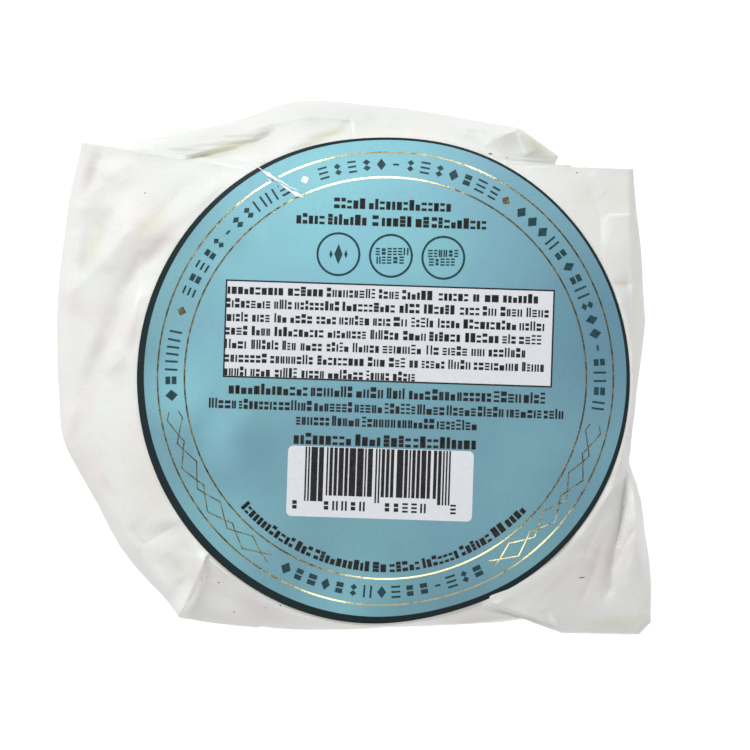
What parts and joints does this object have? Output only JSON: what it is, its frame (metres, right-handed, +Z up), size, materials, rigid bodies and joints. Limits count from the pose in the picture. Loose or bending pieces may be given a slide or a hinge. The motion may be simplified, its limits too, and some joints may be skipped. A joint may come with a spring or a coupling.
{
  "type": "wrapped cheese wheel",
  "caption": "Small soft-ripened cheese wheel in folded white paper, lying flat, closed on top with a round teal label.",
  "frame": {"origin": "middle of the pack's footprint, at the surface it lies on", "axes": "+Z up, out of the label's face; +X to the right and +Y to the top of the label as it is read; the long side of the pack is along X"},
  "size_m": [0.1089, 0.0979, 0.0243],
  "materials": {
    "white_paper": "smooth white waxed paper, creased and folded",
    "label_print": "satin printed sticker: soft teal ground, dark rim, thin gold rings, dark and pale blocks of print"
  },
  "bodies": {
    "root": {"paper_wrap": "white_paper", "round_label": "label_print"}
  },
  "joints": []
}
